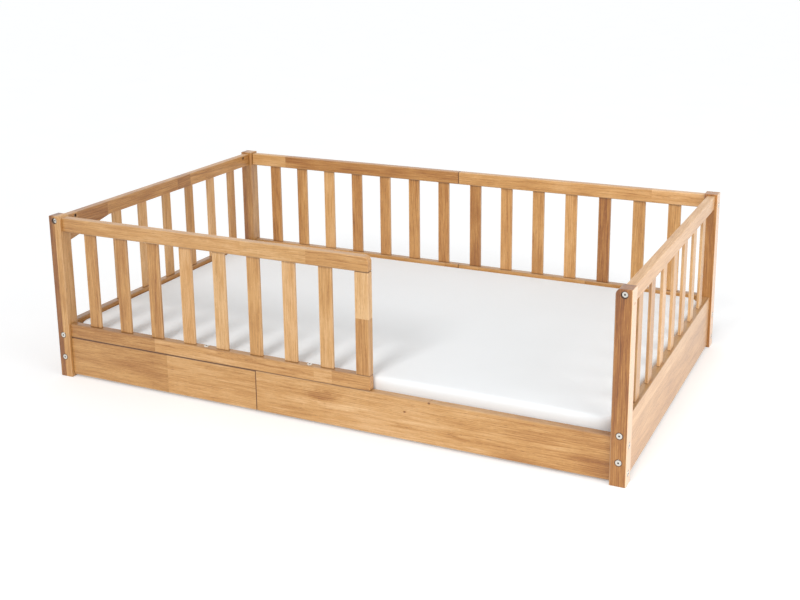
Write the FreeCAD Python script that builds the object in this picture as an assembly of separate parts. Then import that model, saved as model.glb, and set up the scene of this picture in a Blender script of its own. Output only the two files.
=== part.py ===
import FreeCAD, Part
import math
import os
from FreeCAD import Vector

# A toddler floor bed of solid oak: four corner posts, a two-piece front board with a removable
# guard fence on its left, a back of two slatted panels, two slatted end panels, and a mattress on
# flat slats that lie low between the boards.
# Millimetres. Origin on the floor under the middle of the bed; +X to the right end seen from the
# entrance side, +Y to the back, +Z up.

# ---- driving dimensions -------------------------------------------------------------------------
mattress_length = 2000.0
mattress_width = 1200.0
post_side = 50.0
post_height = 597.0
board_thick = 28.0
setback = 10.0              # rails and boards stand back from the posts' outer faces
floor_gap = 10.0            # daylight under every board
front_board_top = 150.0
low_rail_top = 200.0        # top of the fence's bottom rail and of the back and end boards
top_rail_top = 591.0
rail_height = 50.0
deepened_drop = 46.0         # the left end's top rail is deeper where it meets the front post
deepened_reach = 228.0
slat_width = 48.0
slat_thick = 10.0
tenon = 12.0                # depth of a slat's end in its mortise
edge_round = 2.5
slat_round = 2.0
entrance_round = 18.0       # rounded top corner of the front posts and of the fence's free end

fence_length = 1200.0       # also the length of the long front board
fence_slat_count = 8        # evenly spaced from the post to the stile at the free end
stile_width = 48.0
fence_bolt_from_seam = 200.0    # one bolt each side of the front boards' seam

panel_slat_count = 7        # evenly spaced in an end; in the back from the post to near the seam
back_slat_gap = 86.5

base_top = 84.0             # top of the slatted base, which carries the mattress
base_slat_thick = 18.0
base_slat_width = 70.0
base_slat_count = 14
base_slat_pitch = 138.0
base_slat_end_gap = 4.0
bearer_height = 36.0
bearer_thick = 24.0
bearer_reach = 932.0        # bearers stop short of the barrel nuts at the ends
bearer_split = 180.0        # where a long bearer, which bridges the seam, meets the short one
bearer_screw_gaps = (1, 2, 4, 6)    # screwed in these gaps of the base, counted from the middle
bearer_screw_height = 14.0
hidden_round = 1.5

mattress_height = 110.0
mattress_gap = 2.0          # to the boards all round
mattress_lift = 0.3         # to the slats under it
mattress_corner = 60.0

# fasteners
bolt_radius = 3.0
bolt_hole_radius = 3.5
head_radius = 9.0
head_round = 0.8
head_thick = 2.5
head_proud = 1.0            # how far a lower bolt's head stands out of the post
top_bolt_sink = 4.5         # the uppermost bolts sit this deep
counterbore_radius = 10.0
socket_flats = 5.0
socket_depth = 1.8
bolt_past_nut = 8.0
hole_past_bolt = 2.0
nut_radius = 5.0
nut_length = 16.0
nut_sink = 5.0              # depth of a barrel nut below the face that its hole opens in
nut_from_end = 44.0
fence_bolt_reach = 90.0     # top of the fence's bottom rail down to the nut in the front board
dowel_radius = 5.0
dowel_in_post = 16.0
dowel_in_rail = 24.0
stile_dowel_half = 20.0
screw_radius = 2.25
screw_head_radius = 4.5
screw_head_depth = 3.0
screw_tip_radius = 0.4
screw_tip_length = 5.0
screw_length = 42.0
screw_socket_flats = 3.0
screw_socket_depth = 1.5

# ---- dimensions that follow ---------------------------------------------------------------------
outer_x = mattress_length / 2 + board_thick + setback
outer_y = mattress_width / 2 + board_thick + setback
inner_x = outer_x - post_side           # faces of the posts that the long sides butt against
inner_y = outer_y - post_side           # faces of the posts that the ends butt against
wall_x = outer_x - setback - board_thick / 2    # middle plane of the end panels
wall_y = outer_y - setback - board_thick / 2    # middle plane of the front and the back
top_rail_bottom = top_rail_top - rail_height
rail_middle = top_rail_top - rail_height / 2
fence_end_x = -inner_x + fence_length
fence_slat_gap = ((fence_length - stile_width - fence_slat_count * slat_width)
                  / (fence_slat_count + 1))
end_slat_gap = (2 * inner_y - panel_slat_count * slat_width) / (panel_slat_count + 1)
front_seam_x = inner_x - fence_length
base_bottom = base_top - base_slat_thick

# bolts along Y hold the ends, bolts along X hold the front and back; they miss each other in the post
rail_fastener_step = 14.0
rail_upper_z = rail_middle + rail_fastener_step
rail_lower_z = rail_middle - rail_fastener_step
end_board_bolts_z = (75.0, 158.0)
long_board_bolts_z = (37.0, 124.0)
end_board_dowel_z = 115.0
long_board_dowel_z = 80.0
seam_dowel_step = 35.0

X_AXIS = Vector(1, 0, 0)
Y_AXIS = Vector(0, 1, 0)
Z_AXIS = Vector(0, 0, 1)


# ---- shapes -------------------------------------------------------------------------------------
def bar(low, high, radius=edge_round):
    """A bar between two corners, with all its edges rounded."""
    size = high - low
    box = Part.makeBox(size.x, size.y, size.z, low)
    return box.makeFillet(radius, box.Edges)


def slat(low, high):
    """A flat upright slat, rounded along its length only."""
    size = high - low
    box = Part.makeBox(size.x, size.y, size.z, low)
    upright = [edge for edge in box.Edges if abs(edge.tangentAt(edge.FirstParameter).z) > 0.9]
    return box.makeFillet(slat_round, upright)


def corner_bar(low, high, round_side):
    """A bar whose top corner at the +X (1) or -X (-1) side has the large entrance radius."""
    size = high - low
    box = Part.makeBox(size.x, size.y, size.z, low)
    corner_x = high.x if round_side > 0 else low.x
    big = [edge for edge in box.Edges
           if all(abs(v.Point.x - corner_x) < 0.01 and abs(v.Point.z - high.z) < 0.01
                  for v in edge.Vertexes)]
    rounded = box.makeFillet(entrance_round, big)
    return rounded.makeFillet(edge_round, rounded.Edges)


def deepened_bar(low, high, drop, reach):
    """A bar along Y whose underside falls by drop over the last reach towards its -Y end."""
    corners = [Vector(low.x, low.y, low.z - drop), Vector(low.x, low.y + reach, low.z),
               Vector(low.x, high.y, low.z), Vector(low.x, high.y, high.z),
               Vector(low.x, low.y, high.z)]
    side = Part.Face(Part.makePolygon(corners + corners[:1]))
    solid = side.extrude(Vector(high.x - low.x, 0, 0))
    return solid.makeFillet(edge_round, solid.Edges)


def rod(start, direction, length, radius):
    return Part.makeCylinder(radius, length, start, direction)


def drilled(solid, tools):
    """The solid less every tool that reaches into its box."""
    box = solid.BoundBox
    hits = [tool for tool in tools if box.intersect(tool.BoundBox)]
    return solid.cut(hits) if hits else solid


def export(name, shape):
    solids = shape.Solids
    assert solids and all(s.isValid() and s.Volume > 0 for s in solids), name
    whole = solids[0] if len(solids) == 1 else Part.makeCompound(solids)
    whole.exportStep("parts/%s.step" % name)


# ---- fasteners ----------------------------------------------------------------------------------
bolts = []
nuts = []
dowels = []
screws = []
holes = []


def place_bolt(face, direction, sink, reach, nut_axis):
    """A flat-head bolt from a point on the outer face, going in along direction.

    sink is the depth of the head's underside below the face, reach the distance from the face
    to the barrel nut, nut_axis the way the nut's hole opens.
    """
    seat = face + direction * sink
    length = reach - sink + bolt_past_nut
    head = rod(seat - direction * head_thick, direction, head_thick, head_radius)
    rim = [edge for edge in head.Edges if edge.Closed]
    outer_rim = [e for e in rim if abs((e.CenterOfMass - seat).dot(direction) + head_thick) < 0.01]
    head = head.makeFillet(head_round, outer_rim)
    shank = rod(seat, direction, length, bolt_radius)
    key = hex_prism(seat - direction * head_thick, direction, socket_flats, socket_depth)
    bolt = head.fuse(shank).cut(key)
    nut_centre = face + direction * reach
    open_face = nut_centre + nut_axis * (board_thick / 2)
    nut_start = open_face - nut_axis * (nut_sink + nut_length)
    nut = rod(nut_start, nut_axis, nut_length, nut_radius).cut(shank)
    bolts.append(bolt)
    nuts.append(nut)
    holes.append(rod(face, direction, sink + length + hole_past_bolt, bolt_hole_radius))
    if sink > 0:
        holes.append(rod(face, direction, sink, counterbore_radius))
    holes.append(rod(nut_start, nut_axis, nut_length + nut_sink, nut_radius))


def hex_prism(centre, direction, flats, depth):
    radius = flats / math.sqrt(3)
    side = Z_AXIS if abs(direction.z) < 0.5 else X_AXIS
    other = direction.cross(side)
    points = []
    for i in range(7):
        angle = math.radians(60 * i)
        points.append(centre + side * (radius * math.cos(angle)) + other * (radius * math.sin(angle)))
    return Part.Face(Part.makePolygon(points)).extrude(direction * depth)


def place_dowel(start, direction, length=dowel_in_post + dowel_in_rail):
    dowel = rod(start, direction, length, dowel_radius)
    dowels.append(dowel)
    holes.append(dowel)


def place_screw(face, direction):
    """A countersunk wood screw, flush with the face."""
    head = Part.makeCone(screw_head_radius, screw_radius, screw_head_depth, face, direction)
    tip_depth = screw_length - screw_tip_length
    shank_start = face + direction * screw_head_depth
    shank = rod(shank_start, direction, tip_depth - screw_head_depth, screw_radius)
    tip = Part.makeCone(screw_radius, screw_tip_radius, screw_tip_length,
                        face + direction * tip_depth, direction)
    socket = hex_prism(face, direction, screw_socket_flats, screw_socket_depth)
    screw = head.fuse([shank, tip])
    screws.append(screw.cut(socket))
    holes.append(screw)


def fasten_corners():
    """Bolts and dowels where the panels meet the posts.

    The nuts' holes open towards the inside of the bed, but those of the back's top rail towards
    the rear: none shows on its inner face.
    """
    for sx in (-1, 1):
        for sy in (-1, 1):
            into_end = Vector(0, -sy, 0)
            into_long = Vector(-sx, 0, 0)
            end_face = Vector(sx * wall_x, sy * outer_y, 0)
            long_face = Vector(sx * outer_x, sy * wall_y, 0)
            reach = post_side + nut_from_end
            shallow = head_thick - head_proud
            deep = head_thick + top_bolt_sink
            place_bolt(end_face + Z_AXIS * rail_upper_z, into_end, deep, reach, into_long)
            for z in end_board_bolts_z:
                place_bolt(end_face + Z_AXIS * z, into_end, shallow, reach, into_long)
            for z in long_board_bolts_z:
                place_bolt(long_face + Z_AXIS * z, into_long, shallow, reach, into_end)
            end_dowel = Vector(sx * wall_x, sy * (inner_y + dowel_in_post), 0)
            long_dowel = Vector(sx * (inner_x + dowel_in_post), sy * wall_y, 0)
            place_dowel(end_dowel + Z_AXIS * rail_lower_z, into_end)
            place_dowel(end_dowel + Z_AXIS * end_board_dowel_z, into_end)
            place_dowel(long_dowel + Z_AXIS * long_board_dowel_z, into_long)
            rail_bolt_face = long_face + Z_AXIS * rail_lower_z
            if sx > 0 and sy < 0:
                # no rail meets the front right post: its bolt hole waits for a fence on that side
                holes.append(rod(rail_bolt_face, into_long, post_side, bolt_hole_radius))
            else:
                place_bolt(rail_bolt_face, into_long, shallow, reach, Y_AXIS)
                place_dowel(long_dowel + Z_AXIS * rail_upper_z, into_long)


def fasten_seams_and_fence():
    half = dowel_in_rail
    for z in (front_board_top / 2 - seam_dowel_step, front_board_top / 2 + seam_dowel_step):
        place_dowel(Vector(front_seam_x - half, -wall_y, z), X_AXIS, 2 * half)
    for z in (low_rail_top / 2 - seam_dowel_step, low_rail_top / 2 + seam_dowel_step,
              rail_lower_z, rail_upper_z):
        place_dowel(Vector(-half, wall_y, z), X_AXIS, 2 * half)
    low_middle = (front_board_top + low_rail_top) / 2
    place_dowel(Vector(-inner_x - dowel_in_post, -wall_y, low_middle), X_AXIS)
    stile_x = fence_end_x - stile_width / 2
    for z in (low_rail_top, top_rail_bottom):
        place_dowel(Vector(stile_x, -wall_y, z - stile_dowel_half), Z_AXIS, 2 * stile_dowel_half)
    for x in (front_seam_x - fence_bolt_from_seam, front_seam_x + fence_bolt_from_seam):
        place_bolt(Vector(x, -wall_y, low_rail_top), -Z_AXIS, 0.0, fence_bolt_reach, Y_AXIS)


# ---- wooden pieces ------------------------------------------------------------------------------
wood = {}


def make_posts():
    for side, sx in (("left", -1), ("right", 1)):
        for row, sy in (("front", -1), ("back", 1)):
            xs = sorted((sx * inner_x, sx * outer_x))
            ys = sorted((sy * inner_y, sy * outer_y))
            low = Vector(xs[0], ys[0], 0)
            high = Vector(xs[1], ys[1], post_height)
            if row == "front":
                post = corner_bar(low, high, -sx)
            else:
                post = bar(low, high)
            wood["post_%s_%s" % (row, side)] = post


def make_panel(name, along, start, end, wall, slat_centres, rail=None):
    """A top rail, a lower board and its slats, along X or Y, in the middle plane wall."""
    def corner(a, across, z):
        return Vector(a, across, z) if along == "x" else Vector(across, a, z)

    half = board_thick / 2
    thin = slat_thick / 2
    if rail is None:
        rail = bar(corner(start, wall - half, top_rail_bottom), corner(end, wall + half, top_rail_top))
    board = bar(corner(start, wall - half, floor_gap), corner(end, wall + half, low_rail_top))
    for i, centre in enumerate(slat_centres):
        piece = slat(corner(centre - slat_width / 2, wall - thin, low_rail_top - tenon),
                     corner(centre + slat_width / 2, wall + thin, top_rail_bottom + tenon))
        wood["%s_slat_%d" % (name, i + 1)] = piece
        rail = rail.cut(piece)
        board = board.cut(piece)
    wood["%s_top_rail" % name] = rail
    wood["%s_board" % name] = board


def slat_row(start, gap, count):
    """Centres of slats that start one gap from a post and keep that gap between them."""
    return [start + gap + slat_width / 2 + (gap + slat_width) * i for i in range(count)]


def make_back_and_ends():
    back_centres = slat_row(-inner_x, back_slat_gap, panel_slat_count)
    mirrored = [-centre for centre in reversed(back_centres)]
    end_centres = slat_row(-inner_y, end_slat_gap, panel_slat_count)
    make_panel("back_left", "x", -inner_x, 0.0, wall_y, back_centres)
    make_panel("back_right", "x", 0.0, inner_x, wall_y, mirrored)
    deep_rail = deepened_bar(Vector(-wall_x - board_thick / 2, -inner_y, top_rail_bottom),
                             Vector(-wall_x + board_thick / 2, inner_y, top_rail_top),
                             deepened_drop, deepened_reach)
    make_panel("left_end", "y", -inner_y, inner_y, -wall_x, end_centres, deep_rail)
    make_panel("right_end", "y", -inner_y, inner_y, wall_x, end_centres)


def make_front():
    near = -wall_y - board_thick / 2
    far = -wall_y + board_thick / 2
    wood["front_board_short"] = bar(Vector(-inner_x, near, floor_gap),
                                    Vector(front_seam_x, far, front_board_top))
    wood["front_board_long"] = bar(Vector(front_seam_x, near, floor_gap),
                                   Vector(inner_x, far, front_board_top))
    top = corner_bar(Vector(-inner_x, near, top_rail_bottom), Vector(fence_end_x, far, top_rail_top), 1)
    bottom = bar(Vector(-inner_x, near, front_board_top), Vector(fence_end_x, far, low_rail_top))
    wood["fence_end_stile"] = bar(Vector(fence_end_x - stile_width, near, low_rail_top),
                                  Vector(fence_end_x, far, top_rail_bottom))
    for i, centre in enumerate(slat_row(-inner_x, fence_slat_gap, fence_slat_count)):
        piece = slat(Vector(centre - slat_width / 2, -wall_y - slat_thick / 2, low_rail_top - tenon),
                     Vector(centre + slat_width / 2, -wall_y + slat_thick / 2, top_rail_bottom + tenon))
        wood["fence_slat_%d" % (i + 1)] = piece
        top = top.cut(piece)
        bottom = bottom.cut(piece)
    wood["fence_top_rail"] = top
    wood["fence_bottom_rail"] = bottom


# ---- slatted base -------------------------------------------------------------------------------
def make_base():
    """Bearers along the front and back boards, and the slats across them."""
    bearers = []
    slats = []
    low = base_bottom - bearer_height
    board_face = wall_y - board_thick / 2
    bearer_face = board_face - bearer_thick
    for sy in (-1, 1):
        ys = sorted((sy * board_face, sy * bearer_face))
        split = -sy * bearer_split
        for x0, x1 in ((-bearer_reach, split), (split, bearer_reach)):
            bearers.append(bar(Vector(x0, ys[0], low), Vector(x1, ys[1], base_bottom), hidden_round))
        for gap in bearer_screw_gaps:
            for x in (-gap * base_slat_pitch, gap * base_slat_pitch):
                place_screw(Vector(x, sy * bearer_face, low + bearer_screw_height), Y_AXIS * sy)
    slat_end = board_face - base_slat_end_gap
    for i in range(base_slat_count):
        x = base_slat_pitch * (i - (base_slat_count - 1) / 2)
        slats.append(bar(Vector(x - base_slat_width / 2, -slat_end, base_bottom),
                         Vector(x + base_slat_width / 2, slat_end, base_top), hidden_round))
        for sy in (-1, 1):
            place_screw(Vector(x, sy * (board_face - bearer_thick / 2), base_top), -Z_AXIS)
    return bearers, slats


# ---- mattress -----------------------------------------------------------------------------------
# inset from the full outline, height above the underside: rounded edges, drawn-in sides, flat crown
mattress_profile = ((30.0, 0.0), (13.0, 2.5), (4.0, 9.0), (0.0, 22.0), (3.0, 56.0), (0.0, 88.0),
                    (3.0, 99.0), (9.0, 104.5), (26.0, 107.5), (120.0, 109.0), (320.0, mattress_height))


def rounded_outline(half_x, half_y, radius, z):
    """A closed wire of four lines and four quarter circles."""
    edges = []
    cut = radius * (1 - math.sqrt(0.5))
    for sx, sy in ((1, -1), (1, 1), (-1, 1), (-1, -1)):
        along_x = Vector(sx * (half_x - radius), sy * half_y, z)
        along_y = Vector(sx * half_x, sy * (half_y - radius), z)
        middle = Vector(sx * (half_x - cut), sy * (half_y - cut), z)
        first, last = (along_x, along_y) if sx * sy < 0 else (along_y, along_x)
        edges.append((first, middle, last))
    shapes = []
    for i, (first, middle, last) in enumerate(edges):
        shapes.append(Part.Arc(first, middle, last).toShape())
        shapes.append(Part.makeLine(last, edges[(i + 1) % 4][0]))
    return Part.Wire(shapes)


def make_mattress():
    half_x = mattress_length / 2 - mattress_gap
    half_y = mattress_width / 2 - mattress_gap
    wires = []
    for inset, height in mattress_profile:
        radius = max(mattress_corner - inset / 2, 25.0)
        z = base_top + mattress_lift + height
        wires.append(rounded_outline(half_x - inset, half_y - inset, radius, z))
    return Part.makeLoft(wires, True, True)


# ---- build --------------------------------------------------------------------------------------
os.makedirs("parts", exist_ok=True)
make_posts()
make_front()
make_back_and_ends()
fasten_corners()
fasten_seams_and_fence()
bearers, base_slats = make_base()
for name, piece in wood.items():
    export(name, drilled(piece, holes))
export("bearers", Part.makeCompound([drilled(piece, holes) for piece in bearers]))
export("base_slats", Part.makeCompound([drilled(piece, holes) for piece in base_slats]))
export("connector_bolts", Part.makeCompound(bolts))
export("barrel_nuts", Part.makeCompound(nuts))
export("dowels", Part.makeCompound(dowels))
export("wood_screws", Part.makeCompound(screws))
export("mattress", make_mattress())
print(len(wood) + 7, "nodes;", len(bolts), "bolts,", len(dowels), "dowels,", len(screws), "screws")
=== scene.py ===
"""Toddler floor bed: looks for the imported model, in Blender 4.5. Metres, in the model's own frame."""

import math

import bmesh
import bpy
from mathutils import Matrix, Vector, noise


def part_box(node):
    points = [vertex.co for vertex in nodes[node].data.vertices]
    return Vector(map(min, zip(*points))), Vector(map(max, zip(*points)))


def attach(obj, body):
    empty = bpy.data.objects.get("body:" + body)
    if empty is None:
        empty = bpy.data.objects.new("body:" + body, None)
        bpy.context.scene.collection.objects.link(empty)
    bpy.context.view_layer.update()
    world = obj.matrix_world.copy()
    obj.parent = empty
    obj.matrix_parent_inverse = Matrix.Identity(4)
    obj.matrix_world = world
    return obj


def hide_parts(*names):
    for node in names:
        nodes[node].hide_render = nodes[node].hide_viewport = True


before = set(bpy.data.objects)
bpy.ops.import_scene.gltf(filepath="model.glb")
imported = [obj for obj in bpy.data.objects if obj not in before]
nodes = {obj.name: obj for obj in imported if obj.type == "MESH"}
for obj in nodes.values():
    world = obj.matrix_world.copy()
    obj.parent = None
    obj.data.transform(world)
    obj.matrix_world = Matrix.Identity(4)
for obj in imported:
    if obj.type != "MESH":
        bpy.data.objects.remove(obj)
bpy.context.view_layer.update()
scene = bpy.context.scene


# ---------------------------------------------------------------- node helper


class Graph:
    """Adds linked nodes to one node tree, so that a material reads as a list of steps."""

    def __init__(self, tree):
        self.tree = tree

    def new(self, kind, **settings):
        node = self.tree.nodes.new(kind)
        for key, value in settings.items():
            setattr(node, key, value)
        return node

    def feed(self, socket, value):
        if isinstance(value, bpy.types.NodeSocket):
            self.tree.links.new(value, socket)
        else:
            socket.default_value = value

    def math(self, operation, *values, clamp=False):
        node = self.new("ShaderNodeMath", operation=operation, use_clamp=clamp)
        for socket, value in zip(node.inputs, values):
            self.feed(socket, value)
        return node.outputs[0]

    def vector(self, operation, *values):
        node = self.new("ShaderNodeVectorMath", operation=operation)
        for socket, value in zip(node.inputs, values):
            self.feed(socket, value)
        return node.outputs["Value" if operation == "LENGTH" else "Vector"]

    def split(self, vector):
        node = self.new("ShaderNodeSeparateXYZ")
        self.feed(node.inputs[0], vector)
        return node.outputs

    def join(self, x, y, z):
        node = self.new("ShaderNodeCombineXYZ")
        for socket, value in zip(node.inputs, (x, y, z)):
            self.feed(socket, value)
        return node.outputs[0]

    def stretch(self, parts, scales):
        """The vector of the parts, each multiplied by its own scale."""
        return self.join(*(self.math("MULTIPLY", part, scale) for part, scale in zip(parts, scales)))

    def length(self, x, y):
        return self.vector("LENGTH", self.join(x, y, 0.0))

    def off_middle(self, value):
        """A random number or a noise value less its average."""
        return self.math("SUBTRACT", value, 0.5)

    def noise(self, vector, scale=1.0, detail=2.0, roughness=0.5, distortion=0.0):
        node = self.new("ShaderNodeTexNoise")
        for name, value in (
            ("Vector", vector),
            ("Scale", scale),
            ("Detail", detail),
            ("Roughness", roughness),
            ("Distortion", distortion),
        ):
            self.feed(node.inputs[name], value)
        return node.outputs[0]

    def random(self, x, y, z):
        """Three numbers from 0 to 1 that change only with x, y and z."""
        node = self.new("ShaderNodeTexWhiteNoise", noise_dimensions="3D")
        self.feed(node.inputs["Vector"], self.join(x, y, z))
        return self.split(node.outputs["Color"])

    def ramp(self, factor, stops, interpolation="LINEAR"):
        node = self.new("ShaderNodeValToRGB")
        node.color_ramp.interpolation = interpolation
        elements = node.color_ramp.elements
        while len(elements) < len(stops):
            elements.new(0.5)
        for element, (position, colour) in zip(elements, stops):
            element.position = position
            element.color = colour
        self.feed(node.inputs[0], factor)
        return node.outputs[0]

    def remap(self, value, low, high, to_low=0.0, to_high=1.0, smooth=False):
        node = self.new("ShaderNodeMapRange", interpolation_type="SMOOTHSTEP" if smooth else "LINEAR")
        for socket, number in zip(node.inputs, (value, low, high, to_low, to_high)):
            self.feed(socket, number)
        return node.outputs[0]

    def mix(self, factor, a, b, blend="MIX"):
        node = self.new("ShaderNodeMix", data_type="RGBA", blend_type=blend)
        # the names of a Mix node's sockets repeat for every kind of data; 6, 7 and 2 are for colours
        sockets = (node.inputs[0], node.inputs[6], node.inputs[7])
        for socket, value in zip(sockets, (factor, a, b)):
            self.feed(socket, value)
        return node.outputs[2]


def srgb(red, green, blue):
    """A linear colour from 0-255 sRGB values."""

    def linear(value):
        value /= 255.0
        return value / 12.92 if value <= 0.04045 else ((value + 0.055) / 1.055) ** 2.4

    return (linear(red), linear(green), linear(blue), 1.0)


def grey(value):
    return (value, value, value, 1.0)


def new_material(name):
    """A material with only a Principled shader; returns (material, graph, shader)."""
    material = bpy.data.materials.new(name)
    material.use_nodes = True
    graph = Graph(material.node_tree)
    return material, graph, material.node_tree.nodes["Principled BSDF"]


def add_bump(graph, shader, height, distance, strength):
    bump = graph.new("ShaderNodeBump")
    bump.inputs["Strength"].default_value = strength
    bump.inputs["Distance"].default_value = distance
    graph.feed(bump.inputs["Height"], height)
    graph.feed(shader.inputs["Normal"], bump.outputs[0])


# ---------------------------------------------------------------- oak


OAK_SETTINGS = (
    "Seed",
    "Tone",
    "Spread",
    "Stave",
    "Stave Shift",
    "Block",
    "Figure",
    "Shut Shade Low",
    "Shut Shade High",
    "End Shade",
)
FINGER_HALF = 0.004     # half the pitch of the fingers in a finger joint, in metres
RING_WIDTH = 0.0052     # average width of a year's ring
JOINT_LINE = (0.0003, 0.0009)       # full and no darkness of a glue line, from its middle
# the two lines below are dark joints that also carry painted shade in the gap where a piece closes against
# another
SHUT_SHADE_LINE = (0.0010, 0.0046)        # the same for a joint that closes along a side
END_SHADE_LINE = (0.0006, 0.0030)         # and for an end that closes against another piece
WORN_EDGE = (0.0012, 0.0048)        # full and no wear, from an edge
# light to dark, by tone
OAK_COLOURS = (
    (0.00, srgb(242, 210, 156)),
    (0.22, srgb(226, 183, 130)),
    (0.45, srgb(204, 154, 91)),
    (0.68, srgb(172, 118, 57)),
    (0.86, srgb(142, 86, 34)),
    (1.00, srgb(98, 54, 22)),
)
# how dark one year's ring is, from its open spring wood outwards
RING_PROFILE = ((0.0, 1.0), (0.22, 0.55), (0.55, 0.12), (0.93, 0.0), (1.0, 1.0))


def make_oak_group():
    """The shared wood. Place is (along the grain, across, through) in metres from the piece's middle."""
    tree = bpy.data.node_groups.new("oak_grain", "ShaderNodeTree")
    for direction, kind, names in (
        ("INPUT", "NodeSocketVector", ("Place", "Half Size")),
        ("INPUT", "NodeSocketFloat", OAK_SETTINGS),
        ("OUTPUT", "NodeSocketColor", ("Color",)),
        ("OUTPUT", "NodeSocketFloat", ("Roughness", "Height")),
    ):
        for name in names:
            tree.interface.new_socket(name, in_out=direction, socket_type=kind)
    g = Graph(tree)
    given = g.new("NodeGroupInput").outputs
    along, across, through = g.split(given["Place"])
    seed = given["Seed"]

    # staves glued side by side, each finger-jointed from blocks; the fingers show on the edges
    row = g.math("FLOOR", g.math("ADD", g.math("DIVIDE", across, given["Stave"]), given["Stave Shift"]))
    row_random = g.random(row, seed, 3.7)
    finger = g.math("PINGPONG", through, FINGER_HALF)
    stepped = g.math("MULTIPLY_ADD", finger, 2.0, along)
    block_place = g.math("MULTIPLY_ADD", row_random[0], 9.0, g.math("DIVIDE", stepped, given["Block"]))
    block = g.math("FLOOR", block_place)
    chance = g.random(g.math("ADD", row, seed), block, g.math("MULTIPLY", seed, 1.37))
    block_tone = g.math("MULTIPLY_ADD", g.off_middle(chance[0]), given["Spread"], given["Tone"])

    # each block is cut from another part of another log
    far = g.math("MULTIPLY_ADD", chance[2], 31.0, g.math("MULTIPLY", seed, 7.13))
    place_l = g.math("ADD", along, far)
    slow = g.noise(g.stretch((place_l, across, through), (1.9, 5.0, 1.0)), detail=1.0)
    slow_b = g.noise(g.join(g.math("MULTIPLY", place_l, 1.3), far, 4.0), detail=1.0)
    tilt = g.math("MULTIPLY", g.off_middle(chance[1]), 0.09)
    log_a = g.math(
        "ADD",
        g.math("MULTIPLY_ADD", g.off_middle(slow), 0.030, across),
        g.math("MULTIPLY_ADD", g.off_middle(chance[2]), 0.11, g.math("MULTIPLY", along, tilt)),
    )
    log_b = g.math(
        "ADD",
        g.math("MULTIPLY_ADD", g.off_middle(slow_b), 0.035, through),
        g.math("MULTIPLY_ADD", chance[1], 0.06, 0.02),
    )
    wood = (place_l, across, through)
    ripple = g.noise(g.stretch(wood, (9.0, 60.0, 60.0)), detail=2.0)
    radius = g.length(log_a, log_b)
    ring_place = g.math("DIVIDE", g.math("MULTIPLY_ADD", ripple, 0.0035, radius), RING_WIDTH)
    ring_random = g.random(g.math("FLOOR", ring_place), far, 1.3)
    ring = g.ramp(g.math("FRACT", ring_place), [(part, grey(value)) for part, value in RING_PROFILE])
    ring = g.math("MULTIPLY", ring, g.math("MULTIPLY_ADD", ring_random[0], 0.8, 0.3))

    # streaks along the grain, from broad bands of colour down to the pores
    band = g.noise(g.stretch(wood, (1.4, 22.0, 22.0)), detail=3.0)
    cloud = g.noise(g.stretch(wood, (6.5, 17.0, 17.0)), detail=2.0)
    grain = g.noise(g.stretch((place_l, log_a, log_b), (6.0, 95.0, 95.0)), detail=2.0, roughness=0.6)
    streak = g.noise(g.stretch(wood, (11.0, 260.0, 260.0)), detail=4.0, roughness=0.65)
    pore = g.noise(g.stretch(wood, (55.0, 1300.0, 1300.0)), detail=1.0)
    pore = g.remap(pore, 0.56, 0.70, smooth=True)
    pore = g.math("MULTIPLY", pore, g.math("MULTIPLY_ADD", ring, 0.7, 0.35))
    fleck = g.noise(g.stretch(wood, (75.0, 210.0, 210.0)), detail=0.0)
    fleck = g.remap(fleck, 0.66, 0.74, smooth=True)

    tone = block_tone
    for layer, strength in ((band, 0.34), (cloud, 0.30), (grain, 0.34), (streak, 0.62)):
        tone = g.math("MULTIPLY_ADD", g.off_middle(layer), strength, tone)
    tone = g.math("MULTIPLY_ADD", g.math("MULTIPLY", ring, given["Figure"]), 0.13, tone)
    tone = g.math("MULTIPLY_ADD", pore, 0.16, tone)
    tone = g.math("MULTIPLY_ADD", fleck, -0.05, tone, clamp=True)

    # edges rubbed a little lighter and glue lines a little darker; ends, darker as end grain, and joints
    # along a side get painted shade where they close against another piece
    half_l, half_a, half_b = g.split(given["Half Size"])
    gap_l = g.math("SUBTRACT", half_l, g.math("ABSOLUTE", along))
    gap_a = g.math("SUBTRACT", half_a, g.math("ABSOLUTE", across))
    gap_b = g.math("SUBTRACT", half_b, g.math("ABSOLUTE", through))
    edge = g.remap(g.math("MAXIMUM", gap_a, gap_b), *WORN_EDGE, 1.0, 0.0, smooth=True)
    wear = g.math("MULTIPLY", edge, g.remap(ripple, 0.35, 0.7, 0.25, 1.0))
    end = g.math("MULTIPLY", g.remap(gap_l, *END_SHADE_LINE, 1.0, 0.0, smooth=True), given["End Shade"])
    for operation, darkness in (("ADD", given["Shut Shade Low"]), ("SUBTRACT", given["Shut Shade High"])):
        gap = g.math(operation, half_a, across)
        end = g.math("MAXIMUM", end, g.math("MULTIPLY", g.remap(gap, *SHUT_SHADE_LINE, 1.0, 0.0), darkness))
    wear = g.math("MULTIPLY", wear, g.math("SUBTRACT", 1.0, end, clamp=True))
    half_block = g.math("MULTIPLY", given["Block"], 0.5)
    block_part = g.math("PINGPONG", g.math("MULTIPLY", block_place, given["Block"]), half_block)
    joint = g.remap(block_part, *JOINT_LINE, 1.0, 0.0)

    colour = g.ramp(tone, OAK_COLOURS)
    warm = g.math("MULTIPLY", chance[1], 0.35)
    colour = g.mix(warm, colour, g.mix(1.0, colour, srgb(255, 241, 230), blend="MULTIPLY"))
    colour = g.mix(g.math("MULTIPLY", pore, 0.35), colour, srgb(92, 58, 38))
    colour = g.mix(g.math("MULTIPLY", wear, 0.22), colour, srgb(250, 222, 184))
    # dark glue lines, and painted shade at ends and side joints that close against another piece
    colour = g.mix(g.math("MAXIMUM", end, g.math("MULTIPLY", joint, 0.6)), colour, srgb(78, 38, 14))

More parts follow.
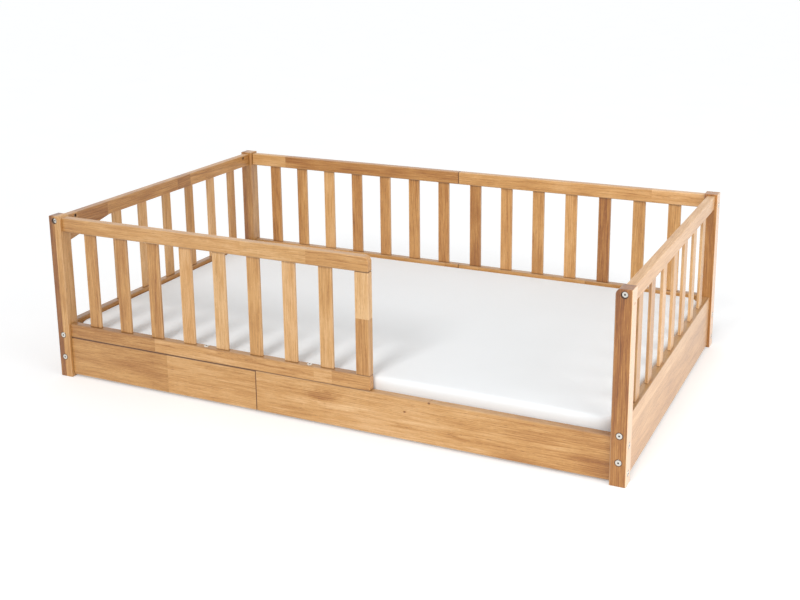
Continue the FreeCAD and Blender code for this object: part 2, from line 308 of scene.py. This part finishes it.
    rough = g.math("MULTIPLY_ADD", pore, 0.16, g.math("MULTIPLY_ADD", streak, 0.14, 0.40))
    rough = g.math("MULTIPLY_ADD", wear, -0.06, rough)
    height = g.math("MULTIPLY_ADD", pore, -0.7, g.math("MULTIPLY", streak, 0.5))
    height = g.math("MULTIPLY_ADD", ring, -0.22, height)
    height = g.math("MULTIPLY_ADD", joint, -0.6, height)
    out = g.new("NodeGroupOutput")
    g.feed(out.inputs["Color"], colour)
    g.feed(out.inputs["Roughness"], rough)
    g.feed(out.inputs["Height"], height)
    return tree


oak_group = make_oak_group()

# order of the frame's axes as (along the grain, across the face, through)
AXES = {
    "upright_x": (2, 0, 1),
    "upright_y": (2, 1, 0),
    "long_x": (0, 2, 1),
    "long_y": (1, 2, 0),
    "base": (1, 0, 2),
}


def middle_of(node):
    low, high = (Vector(corner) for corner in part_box(node))
    return (low + high) / 2


# middle planes of the end panels and of the front and the back, and the outer faces of the right end
WALL_X = middle_of("right_end_board").x
WALL_Y = middle_of("back_left_board").y
RAIL_FACE_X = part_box("right_end_board")[1][0]
POST_FACE_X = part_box("post_back_right")[1][0]
# bolts of the posts: those along Y hold the ends, those along X the front and back
END_BOLT_HEIGHTS = (0.075, 0.158, 0.580)
LONG_BOLT_HEIGHTS = (0.037, 0.124, 0.552)
FENCE_BOLTS_X = (-0.412, -0.012)
NUTS_Y = (-0.544, 0.544)    # barrel nuts of the end top rails
COUNTERBORE = 0.0100        # radii
EMPTY_HOLE = 0.0035
NUT_HOLE = 0.0048
SOCKET = 0.0031
SOCKET_EDGE = 0.0006        # width over which a socket's painted shade fades out
SOCKET_SHADE = 0.9
TENON = 0.012
BASE_SLAT_PITCH = 0.138
# how dark a joint between two pieces is, with the painted shade in its gap
SEAM = 0.9
OPEN_JOINT = 0.35
TIGHT_JOINT = 0.25
# lengths in metres that are larger than the bed, for wood without staves or blocks
ONE_STAVE = 10.0
JOINTED_NEVER = 50.0
# painted shade round each hole: how far it reaches past the hole, and how dark it is
HOLE_SHADE_REACH = 0.0026       # how far the dark rim of a hole reaches
HOLE_SHADE = 0.85
SHEEN_EDGE = 0.001       # over which the painted pale sheen of the outer faces sets in


def cut_tones(g, group, places, seed, cuts):
    """Gives each block or lamella its tone, and grain of its own; cuts are (share, tone)."""
    chosen = g.ramp(places, [(share, grey(tone)) for share, tone in cuts], "CONSTANT")
    g.feed(group.inputs["Tone"], chosen)
    g.feed(group.inputs["Seed"], g.math("MULTIPLY_ADD", chosen, 17.3, seed))


def shift_tone(g, group, change):
    socket = group.inputs["Tone"]
    before = socket.links[0].from_socket if socket.links else socket.default_value
    g.feed(socket, g.math("ADD", change, before))


def hole_shade_rim(g, sides, middle, hole):
    """Painted shade on the rim of a hole along X or Y, as a share that falls to 0 away from it."""
    axis, place, height, radius = hole
    centre = [0.0, 0.0, height]
    centre[1 - axis] = place
    away = [g.math("SUBTRACT", sides[i], centre[i] - middle[i]) for i in (1 - axis, 2)]
    rim = g.remap(g.length(*away), radius, radius + HOLE_SHADE_REACH, HOLE_SHADE, 0.0)
    if radius == NUT_HOLE:
        outward = g.math("MULTIPLY", sides[0], math.copysign(1.0, middle[0]))
        rim = g.math("MULTIPLY", rim, g.math("LESS_THAN", outward, 0.0))
    return rim


def oak(
    node,
    axes,
    seed,
    tone,
    spread=0.0,
    stave=ONE_STAVE,
    shift=0.5,
    block=JOINTED_NEVER,
    figure=1.0,
    tenon=0.0,
    end_dark=0.8,
    shut=(0.0, 0.0),
    holes=(),
    marks=(),
    drift=(),
    pale=None,
    blocks=(),
    split=(),
):
    """Gives a CAD node its own oak.

    tenon:  length of the tenon at each end, out of sight in the rails.
    end_dark: how dark the ends are, as end grain and with painted shade where they close against another
    piece.
    shut:   how dark the closed joint along the low and the high side is, with painted shade in its gap.
    holes:  (axis, place along the other level axis, height, radius): painted shade round each hole.
            A nut's hole opens only towards the bed's middle.
    marks:  (along, across, half length, half width, change of tone) of knots and figured patches.
    drift:  (place along the grain in m, change of tone) where the tone changes slowly.
    pale:   (x in m, share): how strongly a painted pale, pinkish sheen covers the wood beyond x.
    blocks: (start along the grain in m, tone) for blocks told apart in the photograph.
    split:  (start across the face in m, tone) for pieces glued from lamellae told apart there.
    """
    material, g, shader = new_material("oak_" + node)
    low, high = (Vector(corner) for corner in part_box(node))
    middle, half = (low + high) / 2, (high - low) / 2
    order = AXES[axes]
    frame_place = g.vector("SUBTRACT", g.new("ShaderNodeTexCoord").outputs["Object"], tuple(middle))
    sides = g.split(frame_place)
    group = g.new("ShaderNodeGroup", node_tree=oak_group)
    g.feed(group.inputs["Place"], g.join(*(sides[i] for i in order)))
    group.inputs["Half Size"].default_value = [half[order[0]] - tenon, half[order[1]], half[order[2]]]
    settings = (seed, tone, spread, stave, shift, block, figure, *shut, end_dark)
    for name, value in zip(OAK_SETTINGS, settings):
        group.inputs[name].default_value = value

    def shares(axis):
        """The place along an axis as a share of the piece's length there."""
        return g.math("DIVIDE", g.math("ADD", sides[axis], half[axis]), 2 * half[axis])

    def share(axis, place):
        return (place - low[axis]) / (2 * half[axis])

    for cuts, axis in ((blocks, order[0]), (split, order[1])):
        if cuts:
            cut_tones(g, group, shares(axis), seed, [(share(axis, start), value) for start, value in cuts])
    if drift:
        axis = order[0]
        stops = [(share(axis, place), grey(0.5 + value)) for place, value in drift]
        shift_tone(g, group, g.off_middle(g.ramp(shares(axis), stops)))
    for along, across, half_long, half_wide, change in marks:
        away = [
            g.math("DIVIDE", g.math("SUBTRACT", sides[axis], centre - middle[axis]), size)
            for axis, centre, size in ((order[0], along, half_long), (order[1], across, half_wide))
        ]
        wobble = g.noise(g.vector("MULTIPLY", frame_place, (60.0, 60.0, 60.0)), detail=2.0)
        spread_out = g.math("ADD", g.length(*away), g.off_middle(wobble))
        shift_tone(g, group, g.remap(spread_out, 0.35, 1.0, change, 0.0, smooth=True))
    colour = group.outputs["Color"]
    # painted shade round the holes and counterbores
    for hole in holes:
        colour = g.mix(hole_shade_rim(g, sides, middle, hole), colour, srgb(64, 34, 16))
    # painted sheen: faces beyond x are lightened towards a pale pink
    if pale:
        start = pale[0] - middle[0]
        outside = g.remap(sides[0], start, start + SHEEN_EDGE, 0.0, pale[1])
        colour = g.mix(outside, colour, srgb(252, 217, 190))
    g.feed(shader.inputs["Base Color"], colour)
    g.feed(shader.inputs["Roughness"], group.outputs["Roughness"])
    shader.inputs["Specular IOR Level"].default_value = 0.45
    shader.inputs["Coat Weight"].default_value = 0.65
    shader.inputs["Coat Roughness"].default_value = 0.30
    add_bump(g, shader, group.outputs["Height"], distance=0.0006, strength=0.5)
    put_on(node, material)


def put_on(node, material):
    slots = nodes[node].data.materials
    if not slots:
        slots.append(material)
    for index in range(len(slots)):
        slots[index] = material


def post_bolts(side, row):
    along_y = [(1, side * WALL_X, height, COUNTERBORE) for height in END_BOLT_HEIGHTS]
    along_x = [(0, row * WALL_Y, height, COUNTERBORE) for height in LONG_BOLT_HEIGHTS]
    if (side, row) == (1, -1):
        along_x[-1] = (0, row * WALL_Y, LONG_BOLT_HEIGHTS[-1], EMPTY_HOLE)
    return along_y + along_x


def dress_posts():
    """The left posts are glued from a dark and a light lamella, the right ones are lightened outside by a
    painted pale sheen.
    """
    tones_up = ((0.0, -0.14), (0.10, -0.09), (0.19, 0.0), (0.30, -0.02), (0.42, -0.01), (0.597, 0.02))
    for name, side, row, seed, figure, drift, split in (
        ("front_left", -1, -1, 1.3, 1.0, (), ((-1.04, 0.86), (-1.014, 0.42))),
        ("front_right", 1, -1, 2.1, 1.6, tones_up, ((0.98, 0.76), (1.0355, 0.32))),
        ("back_left", -1, 1, 3.7, 1.0, (), ((-1.04, 0.74), (-1.016, 0.52))),
        ("back_right", 1, 1, 4.9, 1.0, (), ((0.98, 0.66), (1.0355, 0.40))),
    ):
        oak(
            f"post_{name}",
            "upright_x",
            seed=seed,
            tone=0.5,
            figure=figure,
            end_dark=0.0,
            holes=post_bolts(side, row),
            drift=drift,
            # painted pale sheen on the right posts' outer faces
            pale=(POST_FACE_X - 0.002, 0.65),
            split=split,
        )


def dress_slats(panel, axes, tones, first_seed, seed_step, drifts=None, pale=None):
    """Every slat of a panel is cut from a board of its own."""
    for number, tone in enumerate(tones, 1):
        oak(
            f"{panel}_slat_{number}",
            axes,
            seed=first_seed + seed_step * number,
            tone=tone,
            tenon=TENON,
            drift=(drifts or {}).get(number, ()),
            pale=pale,
        )


def dress_front():
    oak(
        "front_board_short",
        "long_x",
        seed=11.2,
        tone=0.44,
        figure=0.9,
        shut=(0.0, SEAM),
        blocks=((-0.99, 0.53), (-0.57, 0.41)),
    )
    oak(
        "front_board_long",
        "long_x",
        seed=12.6,
        tone=0.38,
        figure=0.9,
        shut=(0.0, TIGHT_JOINT),
        drift=((-0.212, 0.05), (0.05, 0.01), (0.22, -0.06), (0.45, -0.01), (0.988, 0.20)),
        marks=(
            (0.04, 0.107, 0.085, 0.022, 0.16),
            (0.09, 0.078, 0.11, 0.012, -0.14),
            (0.333, 0.104, 0.007, 0.004, 0.55),
            (0.416, 0.147, 0.006, 0.004, 0.50),
        ),
    )
    oak(
        "fence_top_rail",
        "long_x",
        seed=13.1,
        tone=0.36,
        end_dark=0.0,
        shut=(OPEN_JOINT, 0.0),
        drift=((-0.99, 0.14), (-0.80, 0.10), (-0.60, 0.0), (0.21, 0.0)),
        blocks=((-0.99, 0.36), (-0.254, 0.41), (-0.012, 0.46)),
    )
    oak(
        "fence_bottom_rail",
        "long_x",
        seed=14.8,
        tone=0.35,
        end_dark=0.0,
        shut=(SEAM, OPEN_JOINT),
        blocks=((-0.99, 0.60), (-0.622, 0.39), (0.007, 0.38), (0.073, 0.50)),
    )
    oak("fence_end_stile", "upright_x", seed=15.4, tone=0.4, blocks=((0.15, 0.50), (0.387, 0.27)))
    tones = (0.55, 0.54, 0.53, 0.36, 0.30, 0.44, 0.30, 0.36)
    drifts = {8: ((0.188, -0.04), (0.35, -0.02), (0.45, 0.07), (0.553, 0.10))}
    dress_slats("fence", "upright_x", tones, 20.0, 1.7, drifts=drifts)


def dress_back():
    for side, rail_seed, rail_tone, blocks, board_seed, first_seed, slat_tones in (
        (
            "left",
            41.3,
            0.42,
            ((-0.99, 0.41), (-0.821, 0.62)),
            43.5,
            50.0,
            (0.60, 0.55, 0.41, 0.60, 0.55, 0.55, 0.61),
        ),
        (
            "right",
            42.9,
            0.36,
            ((-0.02, 0.46), (0.79, 0.32)),
            44.1,
            70.0,
            (0.67, 0.49, 0.50, 0.43, 0.74, 0.52, 0.46),
        ),
    ):
        panel = f"back_{side}"
        oak(
            f"{panel}_top_rail",
            "long_x",
            seed=rail_seed,
            tone=rail_tone,
            shut=(OPEN_JOINT, 0.0),
            blocks=blocks,
        )
        oak(
            f"{panel}_board",
            "long_x",
            seed=board_seed,
            tone=0.45,
            spread=0.12,
            stave=0.07,
            shift=0.0,
            block=0.45,
            shut=(0.0, OPEN_JOINT),
        )
        dress_slats(panel, "upright_x", slat_tones, first_seed, 2.3)


def dress_ends():
    """The end top rails show the barrel nuts' holes on their inner faces, with painted shade round them.
    """
    nut_holes = [(0, y, END_BOLT_HEIGHTS[-1], NUT_HOLE) for y in NUTS_Y]
    # where the painted pale sheen on the right end's outer faces starts
    outside = RAIL_FACE_X - SHEEN_EDGE
    oak(
        "left_end_top_rail",
        "long_y",
        seed=91.7,
        tone=0.52,
        holes=nut_holes,
        blocks=((-0.59, 0.52), (-0.535, 0.65), (-0.371, 0.54), (0.061, 0.70), (0.149, 0.48)),
    )
    oak(
        "right_end_top_rail",
        "long_y",
        seed=92.3,
        tone=0.36,
        shut=(OPEN_JOINT, 0.0),
        holes=nut_holes,
        pale=(outside, 0.12),
    )
    oak(
        "left_end_board",
        "long_y",
        seed=93.9,
        tone=0.5,
        spread=0.12,
        stave=0.05,
        block=0.5,
        shut=(0.0, OPEN_JOINT),
    )
    oak(
        "right_end_board",
        "long_y",
        seed=94.7,
        tone=0.3,
        figure=0.8,
        shut=(0.0, OPEN_JOINT),
        pale=(outside, 0.17),
        split=((0.01, 0.46), (0.15, 0.28), (0.17, 0.34)),
    )
    left_tones = (0.42, 0.42, 0.36, 0.46, 0.52, 0.30, 0.46)
    right_tones = (0.48, 0.56, 0.34, 0.36, 0.38, 0.32, 0.38)
    dress_slats("left_end", "upright_y", left_tones, 100.0, 2.9)
    # the right end's slats get a faint painted pale sheen on their outer faces
    dress_slats("right_end", "upright_y", right_tones, 120.0, 2.9, pale=(0.99, 0.08))


def dress_base():
    """Out of sight under the mattress: one row of grain per slat."""
    oak("base_slats", "base", seed=141.0, tone=0.45, spread=0.3, stave=BASE_SLAT_PITCH, shift=0.0)
    oak("bearers", "long_x", seed=142.0, tone=0.5, spread=0.2, block=0.5)


dress_posts()
dress_front()
dress_back()
dress_ends()
dress_base()


# ---------------------------------------------------------------- metal and dowels


def bolt_socket_shade(g, place):
    """The share of painted shade in the hex sockets of the bolt heads, and 0 elsewhere."""
    x, y, z = g.split(place)
    away = []
    for level, wall, heights in ((x, WALL_X, END_BOLT_HEIGHTS), (y, WALL_Y, LONG_BOLT_HEIGHTS)):
        aside = g.math("SUBTRACT", g.math("ABSOLUTE", level), wall)
        away += [g.length(aside, g.math("SUBTRACT", z, height)) for height in heights]
    aside = g.math("ADD", y, WALL_Y)
    away += [g.length(g.math("SUBTRACT", x, bolt_x), aside) for bolt_x in FENCE_BOLTS_X]
    nearest = away[0]
    for distance in away[1:]:
        nearest = g.math("MINIMUM", nearest, distance)
    return g.remap(nearest, SOCKET - SOCKET_EDGE, SOCKET, SOCKET_SHADE, 0.0)


def metal(name, colour, roughness, uneven, sockets=False):
    """Plated steel; uneven is how much rougher its grime makes it."""
    material, g, shader = new_material(name)
    place = g.new("ShaderNodeTexCoord").outputs["Object"]
    grime = g.noise(place, scale=420.0, detail=4.0, roughness=0.6)
    fine = g.noise(place, scale=2600.0, detail=2.0)
    shade = g.remap(grime, 0.3, 0.75, 1.0, 0.82)
    tint = g.mix(1.0, colour, g.join(shade, shade, shade), blend="MULTIPLY")
    # bolt heads get painted shade in their hex sockets
    if sockets:
        tint = g.mix(bolt_socket_shade(g, place), tint, srgb(46, 42, 38))
    g.feed(shader.inputs["Base Color"], tint)
    g.feed(shader.inputs["Roughness"], g.math("MULTIPLY_ADD", grime, uneven, roughness))
    shader.inputs["Metallic"].default_value = 1.0
    add_bump(g, shader, fine, distance=0.00008, strength=0.4)
    return material


for node, name, colour, roughness, uneven in (
    ("connector_bolts", "nickel_plated_bolt", srgb(226, 222, 214), 0.20, 0.16),
    ("barrel_nuts", "zinc_plated_nut", srgb(186, 188, 190), 0.24, 0.22),
    ("wood_screws", "zinc_plated_screw", srgb(206, 194, 160), 0.26, 0.22),
):
    put_on(node, metal(name, colour, roughness, uneven, sockets=node == "connector_bolts"))
oak("dowels", "long_x", seed=151.0, tone=0.12, figure=0.2)


# ---------------------------------------------------------------- mattress


THREAD_PITCH = 0.0011


def make_cover_material():
    """Plain white cotton cover: a fine weave, soft creases and a little sheen."""
    material, g, shader = new_material("white_cotton_cover")
    place = g.new("ShaderNodeTexCoord").outputs["Object"]
    x, y, z = g.split(place)
    thread = 2 * math.pi / THREAD_PITCH
    warp = g.math("SINE", g.math("MULTIPLY", g.math("ADD", x, g.math("MULTIPLY", z, 0.31)), thread))
    weft = g.math("SINE", g.math("MULTIPLY", g.math("ADD", y, g.math("MULTIPLY", z, 0.73)), thread))
    weave = g.math("MULTIPLY", g.math("MULTIPLY", warp, weft), 0.5)
    slub = g.noise(g.stretch((x, y, z), (40.0, 420.0, 1.0)), detail=2.0)
    cloud = g.noise(place, scale=3.2, detail=3.0, roughness=0.55)
    crease = g.noise(place, scale=7.0, detail=3.0, roughness=0.5, distortion=0.6)
    shade = g.remap(cloud, 0.3, 0.7, 0.985, 1.0)
    shade = g.math("MULTIPLY_ADD", weave, 0.012, shade)
    shade = g.math("MULTIPLY_ADD", g.off_middle(slub), 0.03, shade)
    tint = g.mix(1.0, srgb(245, 248, 250), g.join(shade, shade, shade), blend="MULTIPLY")
    g.feed(shader.inputs["Base Color"], tint)
    g.feed(shader.inputs["Roughness"], g.remap(slub, 0.2, 0.8, 0.82, 0.95))
    shader.inputs["Specular IOR Level"].default_value = 0.2
    shader.inputs["Sheen Weight"].default_value = 0.05
    shader.inputs["Sheen Roughness"].default_value = 0.45
    height = g.math("MULTIPLY_ADD", weave, 0.10, crease)
    height = g.math("MULTIPLY_ADD", slub, 0.06, height)
    add_bump(g, shader, height, distance=0.0016, strength=0.6)
    return material


# side rows of the mattress: height above its underside, and how far the side is drawn in there
SIDE_ROWS = (
    (0.009, 0.004),
    (0.022, 0.0),
    (0.040, 0.0022),
    (0.056, 0.003),
    (0.073, 0.002),
    (0.090, 0.0),
    (0.1015, 0.0022),
)
# the top from its rim to the middle: distance in from the rim, and height above the underside
TOP_ROLL = (
    (0.0, 0.1015),
    (0.005, 0.1056),
    (0.012, 0.1074),
    (0.024, 0.1081),
    (0.040, 0.1084),
    (0.12, 0.1087),
    (0.32, 0.1090),
)
RIM_STEPS = (0.0, 0.005, 0.012, 0.024, 0.040)
MATTRESS_CORNER = 0.060
MATTRESS_STEP = 0.026       # of the grid between the rims
UNDER_ROLL = 0.026          # how far in the underside's rounded edge reaches
HELD_HEIGHT = 0.05          # the cover doesn't move below this height above the underside
PUFF_FRAMES = 16
PUFF_LIMIT = 0.0025         # no point moves further than this
WAVES_FROM = 0.09           # the top's soft waves start at this height and are full a little higher
WAVES_FADE = 0.015
# scale of the waves along x and y, their slice of the noise, and their height
WAVES = ((2.1, 2.6, 4.1, 0.0012), (6.3, 7.1, 9.4, 0.0006))


def interpolate(table, value):
    for (x0, y0), (x1, y1) in zip(table, table[1:]):
        if value <= x1:
            return y0 + (y1 - y0) * (value - x0) / (x1 - x0)
    return table[-1][1]


def lattice_lines(half):
    """Grid lines from -half to half, close together at the rim."""
    inner = half - MATTRESS_CORNER
    count = round(2 * inner / MATTRESS_STEP)
    middle = [-inner + 2 * inner * i / count for i in range(count + 1)]
    rim = [half - step for step in RIM_STEPS]
    return [-x for x in rim] + middle + rim[::-1]


def round_corner(x, y, half):
    """Bends the square grid of a corner into a quarter disc."""
    a = (abs(x) - half.x + MATTRESS_CORNER) / MATTRESS_CORNER
    b = (abs(y) - half.y + MATTRESS_CORNER) / MATTRESS_CORNER
    if a <= 0 or b <= 0:
        return x, y
    reach = max(a, b) * MATTRESS_CORNER
    angle = math.pi / 4 * b / a if a >= b else math.pi / 2 - math.pi / 4 * a / b
    return (
        math.copysign(half.x - MATTRESS_CORNER + reach * math.cos(angle), x),
        math.copysign(half.y - MATTRESS_CORNER + reach * math.sin(angle), y),
    )


def mattress_point(x, y, row, half):
    """A grid point of the box surface, moved to the mattress's shape; row counts up the side."""
    rim_gap = min(half.x - abs(x), half.y - abs(y))
    height, inset = SIDE_ROWS[row]
    if rim_gap > 0:
        if row > 0:
            height = interpolate(TOP_ROLL, rim_gap)
        else:
            height *= max(0.0, 1 - rim_gap / UNDER_ROLL) ** 2
    x, y = round_corner(x, y, half)
    return x * (1 - inset / half.x), y * (1 - inset / half.y), height


def mattress_mesh(half, middle, base_z):
    xs, ys, rows = lattice_lines(half.x), lattice_lines(half.y), range(len(SIDE_ROWS))
    last_x, last_y, last_row = len(xs) - 1, len(ys) - 1, len(SIDE_ROWS) - 1
    bm = bmesh.new()
    verts = {}
    for i, x in enumerate(xs):
        for j, y in enumerate(ys):
            for k in rows:
                if i in (0, last_x) or j in (0, last_y) or k in (0, last_row):
                    px, py, height = mattress_point(x, y, k, half)
                    verts[i, j, k] = bm.verts.new((middle.x + px, middle.y + py, base_z + height))
    for i in range(last_x):
        for j in range(last_y):
            corners = ((i, j), (i + 1, j), (i + 1, j + 1), (i, j + 1))
            bm.faces.new([verts[a, b, last_row] for a, b in corners])
            bm.faces.new([verts[a, b, 0] for a, b in reversed(corners)])
    for k in range(last_row):
        for i in range(last_x):
            for j, order in ((0, 1), (last_y, -1)):
                quad = ((i, k), (i + 1, k), (i + 1, k + 1), (i, k + 1))
                bm.faces.new([verts[a, j, c] for a, c in quad[::order]])
        for j in range(last_y):
            for i, order in ((0, -1), (last_x, 1)):
                quad = ((j, k), (j + 1, k), (j + 1, k + 1), (j, k + 1))
                bm.faces.new([verts[i, b, c] for b, c in quad[::order]])
    mesh = bpy.data.meshes.new("mattress_cover")
    bm.to_mesh(mesh)
    bm.free()
    return mesh


def puff_cover(mattress, base_z):
    """Lets the cover fill out a little under pressure, held near the slats it lies on."""
    mesh = mattress.data
    start = [vert.co.copy() for vert in mesh.vertices]
    held = mattress.vertex_groups.new(name="held")
    lowest = [vert.index for vert in mesh.vertices if vert.co.z < base_z + HELD_HEIGHT]
    held.add(lowest, 1.0, "REPLACE")
    cloth = mattress.modifiers.new("puff", "CLOTH")
    settings = cloth.settings
    settings.quality = 5
    settings.mass = 0.25
    settings.tension_stiffness = settings.compression_stiffness = 18
    settings.bending_stiffness = 1.5
    settings.shrink_min = -0.003
    settings.vertex_group_mass = "held"
    settings.use_pressure = True
    settings.uniform_pressure_force = 2.0
    settings.effector_weights.gravity = 0.0
    cloth.point_cache.frame_start, cloth.point_cache.frame_end = 1, PUFF_FRAMES
    for number in range(1, PUFF_FRAMES + 1):
        scene.frame_set(number)
    settled = mattress.evaluated_get(bpy.context.evaluated_depsgraph_get())
    moved = [vert.co.copy() for vert in settled.data.vertices]
    mattress.modifiers.remove(cloth)
    scene.frame_set(1)
    for vert, before, after in zip(mesh.vertices, start, moved):
        step = after - before
        if step.length > PUFF_LIMIT:
            step *= PUFF_LIMIT / step.length
        vert.co = before + step


def make_mattress():
    """A crowned block with rounded corners and drawn-in sides, in the space of its CAD solid."""
    low, high = (Vector(corner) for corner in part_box("mattress"))
    middle, half = (low + high) / 2, (high - low) / 2
    mesh = mattress_mesh(half, middle, low.z)
    mattress = bpy.data.objects.new("mattress_cover", mesh)
    scene.collection.objects.link(mattress)
    puff_cover(mattress, low.z)
    for vert in mesh.vertices:
        x, y, z = vert.co
        share = min(1.0, max(0.0, (z - low.z - WAVES_FROM) / WAVES_FADE))
        waves = sum(
            noise.noise(Vector((x * scale_x, y * scale_y, level))) * height
            for scale_x, scale_y, level, height in WAVES
        )
        vert.co = (
            max(low.x, min(high.x, x)),
            max(low.y, min(high.y, y)),
            min(high.z, max(low.z, z + waves * share)),
        )
    mesh.polygons.foreach_set("use_smooth", [True] * len(mesh.polygons))
    subdivision = mattress.modifiers.new("smooth", "SUBSURF")
    subdivision.levels = subdivision.render_levels = 1
    mesh.materials.append(make_cover_material())
    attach(mattress, "mattress")
    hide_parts("mattress")


make_mattress()


# ---------------------------------------------------------------- camera


def make_camera():
    """The photograph's viewpoint; the image is 800 x 600 and the focal length is in pixels of it."""
    focal_pixels, shift_pixels, image_width, sensor = 1156.02, 100.0, 800.0, 36.0
    azimuth, elevation, roll = (math.radians(a) for a in (25.635, 13.72, -0.58))
    data = bpy.data.cameras.new("camera")
    data.sensor_width = sensor
    data.lens = focal_pixels / image_width * sensor
    data.shift_y = -shift_pixels / image_width
    data.clip_end = 200.0
    camera = bpy.data.objects.new("camera", data)
    camera.location = (1.7711, -3.6429, 1.5987)
    turn = Matrix.Rotation(azimuth, 3, "Z") @ Matrix.Rotation(math.pi / 2 - elevation, 3, "X")
    camera.rotation_euler = (turn @ Matrix.Rotation(roll, 3, "Z")).to_euler()
    scene.collection.objects.link(camera)
    scene.camera = camera


make_camera()


# ---------------------------------------------------------------- studio


def screen_rays(graph):
    """1 for camera, glossy and transmission rays, 0 for the rest of the light."""
    path = graph.new("ShaderNodeLightPath").outputs
    seen = graph.math("MAXIMUM", path["Is Camera Ray"], path["Is Glossy Ray"])
    return graph.math("MAXIMUM", seen, path["Is Transmission Ray"])


FLOOR_REACH = 40.0
SEEN_FLOOR = (0.79, 0.80, 0.81)
UNSEEN_FLOOR = 0.80     # what the light that falls on the object meets
FLOOR_GLOW = 0.31
AMBIENT = 0.595         # strength of the world's light on surfaces; it is seen at 1


def make_floor():
    """A pale floor that takes the shadows, lifted to white for the camera."""
    mesh = bpy.data.meshes.new("floor")
    corners = [(x * FLOOR_REACH, y * FLOOR_REACH, 0) for x, y in ((-1, -1), (1, -1), (1, 1), (-1, 1))]
    mesh.from_pydata(corners, [], [range(4)])
    floor = bpy.data.objects.new("floor", mesh)
    scene.collection.objects.link(floor)
    material = bpy.data.materials.new("pale_floor")
    material.use_nodes = True
    tree = material.node_tree
    tree.nodes.clear()
    g = Graph(tree)
    diffuse = g.new("ShaderNodeBsdfDiffuse")
    place = g.new("ShaderNodeTexCoord").outputs["Object"]
    mottle = g.remap(g.noise(place, scale=3.0, detail=3.0), 0.3, 0.7, 0.99, 1.01)
    seen = screen_rays(g)
    pale = g.vector("MULTIPLY", g.join(mottle, mottle, mottle), SEEN_FLOOR)
    shade = g.mix(seen, grey(UNSEEN_FLOOR), pale)
    g.feed(diffuse.inputs["Color"], shade)
    glow = g.new("ShaderNodeEmission")
    g.feed(glow.inputs["Strength"], g.math("MULTIPLY", seen, FLOOR_GLOW))
    total = g.new("ShaderNodeAddShader")
    g.feed(total.inputs[0], diffuse.outputs[0])
    g.feed(total.inputs[1], glow.outputs[0])
    g.feed(g.new("ShaderNodeOutputMaterial").inputs["Surface"], total.outputs[0])
    mesh.materials.append(material)


def make_world():
    world = bpy.data.worlds.new("studio")
    scene.world = world
    world.use_nodes = True
    world.node_tree.nodes.clear()
    g = Graph(world.node_tree)
    background = g.new("ShaderNodeBackground")
    background.inputs["Color"].default_value = grey(1.0)
    g.feed(background.inputs["Strength"], g.remap(screen_rays(g), 0.0, 1.0, AMBIENT, 1.0))
    g.feed(g.new("ShaderNodeOutputWorld").inputs["Surface"], background.outputs[0])


def make_lamp(name, kind, place, target, energy, **settings):
    data = bpy.data.lights.new(name, kind)
    data.energy = energy
    for key, value in settings.items():
        setattr(data, key, value)
    lamp = bpy.data.objects.new(name, data)
    lamp.location = place
    lamp.rotation_euler = (Vector(target) - Vector(place)).to_track_quat("-Z", "Y").to_euler()
    scene.collection.objects.link(lamp)


make_floor()
make_world()
make_lamp("key", "SUN", (-0.3, -4.2, 3.7), (0.0, 0.0, 0.2), energy=1.3, angle=math.radians(20))
make_lamp("right", "AREA", (3.5, -1.3, 1.5), (1.0, -0.1, 0.2), energy=54.0, shape="DISK", size=3.0)

scene.view_settings.view_transform = "Standard"
